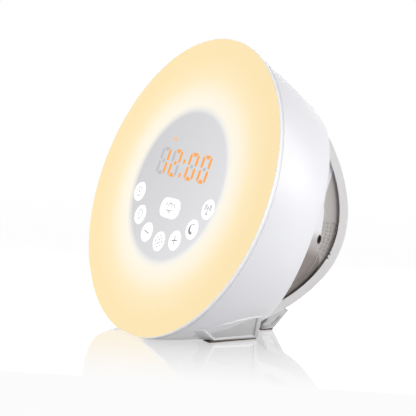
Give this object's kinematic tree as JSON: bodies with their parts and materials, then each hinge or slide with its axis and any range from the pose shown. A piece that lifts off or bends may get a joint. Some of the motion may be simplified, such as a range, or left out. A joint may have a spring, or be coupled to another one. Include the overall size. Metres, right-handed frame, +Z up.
{
  "type": "sunrise alarm clock",
  "caption": "Tilted round wake-up lamp with a lit diffuser face, a clock display and push keys in its middle, a domed shell, a recessed rear spine and small feet.",
  "frame": {"origin": "on the floor, under the middle of the outline: the bottom centre of the bounding box", "axes": "+Z up, the face looks toward -Y and leans back, +X is the clock's right seen from the front"},
  "size_m": [0.1818, 0.1362, 0.172],
  "materials": {
    "white_housing": "glossy white moulding",
    "white_foot": "satin white moulding",
    "warm_diffuser": "frosted light diffuser, lit warm yellow",
    "white_key": "satin white key",
    "reflector_white": "matt white reflector",
    "circuit_board": "solder-masked glass fibre",
    "lamp_yellow": "phosphor-coated diode",
    "lead_metal": "plated pin",
    "ribbon_grey": "flat ribbon",
    "screw_steel": "zinc-plated screw",
    "black_plastic": "black component moulding",
    "speaker_steel": "pressed steel basket",
    "speaker_paper": "paper cone",
    "magnet_iron": "ferrite magnet",
    "lead_red": "insulated wire",
    "pad_rubber": "soft rubber pad"
  },
  "bodies": {
    "clock_body": {"bowl_shell": "white_housing", "rear_housing": "white_housing", "front_diffuser": "warm_diffuser", "reflector_tray": "reflector_white", "lamp_board": "circuit_board", "lamp_leds": "lamp_yellow", "lamp_pins": "lead_metal", "lamp_board_screws": "screw_steel", "switch_board": "circuit_board", "switch_board_screws": "screw_steel", "key_switches": "black_plastic", "display_module": "black_plastic", "board_ribbon": "ribbon_grey", "main_board": "circuit_board", "main_board_screws": "screw_steel", "main_board_parts": "black_plastic", "power_socket": "black_plastic", "speaker_frame": "speaker_steel", "speaker_cone": "speaker_paper", "speaker_magnet": "magnet_iron", "speaker_lead": "lead_red", "power_lead": "lead_red", "housing_screws": "screw_steel", "right_front_foot": "white_foot", "left_front_foot": "white_foot", "rear_foot": "white_foot", "right_front_pad": "pad_rubber", "left_front_pad": "pad_rubber", "rear_pad": "pad_rubber"},
    "alarm_button": {"alarm_key": "white_key"},
    "light_button": {"light_key": "white_key"},
    "minus_button": {"minus_key": "white_key"},
    "brightness_button": {"brightness_key": "white_key"},
    "plus_button": {"plus_key": "white_key"},
    "sleep_button": {"sleep_key": "white_key"},
    "radio_button": {"radio_key": "white_key"},
    "snooze_button": {"snooze_key": "white_key"}
  },
  "joints": [
    {"name": "alarm_press", "type": "slide", "parent": "clock_body", "child": "alarm_button", "axis": [0, 0.9492, -0.3148], "range_m": [0, 0.0005], "stiffness_N_per_m": 600, "springref_m": -0.001},
    {"name": "light_press", "type": "slide", "parent": "clock_body", "child": "light_button", "axis": [0, 0.9492, -0.3148], "range_m": [0, 0.0005], "stiffness_N_per_m": 600, "springref_m": -0.001},
    {"name": "minus_press", "type": "slide", "parent": "clock_body", "child": "minus_button", "axis": [0, 0.9492, -0.3148], "range_m": [0, 0.0005], "stiffness_N_per_m": 600, "springref_m": -0.001},
    {"name": "brightness_press", "type": "slide", "parent": "clock_body", "child": "brightness_button", "axis": [0, 0.9492, -0.3148], "range_m": [0, 0.0005], "stiffness_N_per_m": 600, "springref_m": -0.001},
    {"name": "plus_press", "type": "slide", "parent": "clock_body", "child": "plus_button", "axis": [0, 0.9492, -0.3148], "range_m": [0, 0.0005], "stiffness_N_per_m": 600, "springref_m": -0.001},
    {"name": "sleep_press", "type": "slide", "parent": "clock_body", "child": "sleep_button", "axis": [0, 0.9492, -0.3148], "range_m": [0, 0.0005], "stiffness_N_per_m": 600, "springref_m": -0.001},
    {"name": "radio_press", "type": "slide", "parent": "clock_body", "child": "radio_button", "axis": [0, 0.9492, -0.3148], "range_m": [0, 0.0005], "stiffness_N_per_m": 600, "springref_m": -0.001},
    {"name": "snooze_press", "type": "slide", "parent": "clock_body", "child": "snooze_button", "axis": [0, 0.9492, -0.3148], "range_m": [0, 0.0005], "stiffness_N_per_m": 600, "springref_m": -0.001}
  ]
}
